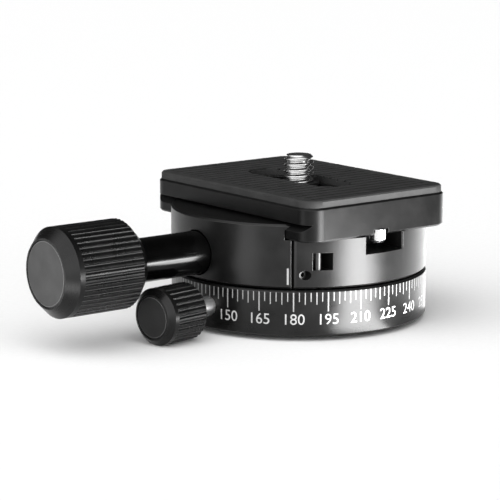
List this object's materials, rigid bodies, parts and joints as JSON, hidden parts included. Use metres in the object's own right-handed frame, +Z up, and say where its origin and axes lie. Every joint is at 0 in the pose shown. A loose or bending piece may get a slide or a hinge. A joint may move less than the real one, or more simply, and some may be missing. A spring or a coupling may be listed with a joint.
{
  "type": "panoramic tripod head",
  "caption": "Panning clamp on a graduated ring with a lock knob, a side clamping knob and a sliding quick-release plate that carries a camera screw.",
  "frame": {"origin": "centre of the graduated ring's bottom face, on the pan axis, where the tripod screw enters", "axes": "+Z up along the pan axis, the clamp knob points to -X, the plate's groove runs along Y"},
  "size_m": [0.0922, 0.055, 0.0349],
  "materials": {
    "ring_black": "black anodised, satin",
    "clamp_black": "black anodised, satin",
    "plate_black": "black anodised, fine matt",
    "shank_black": "black anodised, glossy",
    "knob_black": "black anodised, turned",
    "disc_grey": "grey, brushed",
    "disc_dark": "dark, turned",
    "bare_aluminium": "machined",
    "steel": "turned steel",
    "polished_steel": "polished",
    "black_screw": "black oxide steel",
    "brass": "plain brass",
    "bearing_plastic": "smooth bearing plastic",
    "pad_rubber": "ribbed rubber"
  },
  "bodies": {
    "base": {"base_housing": "ring_black", "thread_bushing": "steel", "lower_bearing_washer": "bearing_plastic", "upper_bearing_washer": "bearing_plastic", "retaining_ring": "bare_aluminium", "retaining_ring_screws": "black_screw"},
    "lock_shoe": {"lock_shoe": "brass"},
    "lock_knob": {"lock_screw": "steel", "lock_knob": "knob_black", "lock_knob_disc": "disc_dark"},
    "clamp": {"clamp_body": "clamp_black", "spindle": "bare_aluminium", "spindle_screws": "black_screw", "jaw_guide_pins": "steel", "window_stop_pin": "steel", "index_grub_screw": "black_screw"},
    "jaw": {"moving_jaw": "clamp_black", "knob_thrust_washer": "steel"},
    "clamp_knob": {"clamp_screw": "steel", "screw_retaining_clip": "black_screw", "knob_shank": "shank_black", "clamp_knob": "knob_black", "knob_end_disc": "disc_grey"},
    "plate": {"plate_body": "plate_black", "plate_pad": "pad_rubber", "plate_stop_screws": "polished_steel"},
    "camera_screw_carriage": {"camera_screw_clip": "black_screw"},
    "camera_screw": {"camera_screw": "steel"}
  },
  "joints": [
    {"name": "pan", "type": "hinge", "parent": "base", "child": "clamp", "pos_m": [0, 0, 0], "axis": [0, 0, 1], "continuous": true},
    {"name": "lock_travel", "type": "slide", "parent": "base", "child": "lock_shoe", "axis": [-0.9903, -0.1392, 0], "range_m": [0, 0.00035]},
    {"name": "lock_turn", "type": "hinge", "parent": "lock_shoe", "child": "lock_knob", "pos_m": [0, 0, 0.00495], "axis": [-0.9903, -0.1392, 0], "range_deg": [0, 180]},
    {"name": "jaw_slide", "type": "slide", "parent": "clamp", "child": "jaw", "axis": [-1, 0, 0], "range_m": [0, 0.003]},
    {"name": "clamp_knob_turn", "type": "hinge", "parent": "jaw", "child": "clamp_knob", "pos_m": [0, 0, 0.0157], "axis": [-1, 0, 0], "range_deg": [0, 1080]},
    {"name": "plate_slide", "type": "slide", "parent": "clamp", "child": "plate", "axis": [0, 1, 0], "range_m": [-0.005, 0.005]},
    {"name": "camera_screw_slide", "type": "slide", "parent": "plate", "child": "camera_screw_carriage", "axis": [0, 1, 0], "range_m": [-0.01, 0.01]},
    {"name": "camera_screw_turn", "type": "hinge", "parent": "camera_screw_carriage", "child": "camera_screw", "pos_m": [0, 0, 0.022], "axis": [0, 0, 1], "continuous": true}
  ],
  "couplings": [
    {"joint": "clamp_knob_turn", "follows": "jaw_slide", "rad_per_m": 6283.2},
    {"joint": "lock_turn", "follows": "lock_travel", "rad_per_m": 8976}
  ]
}
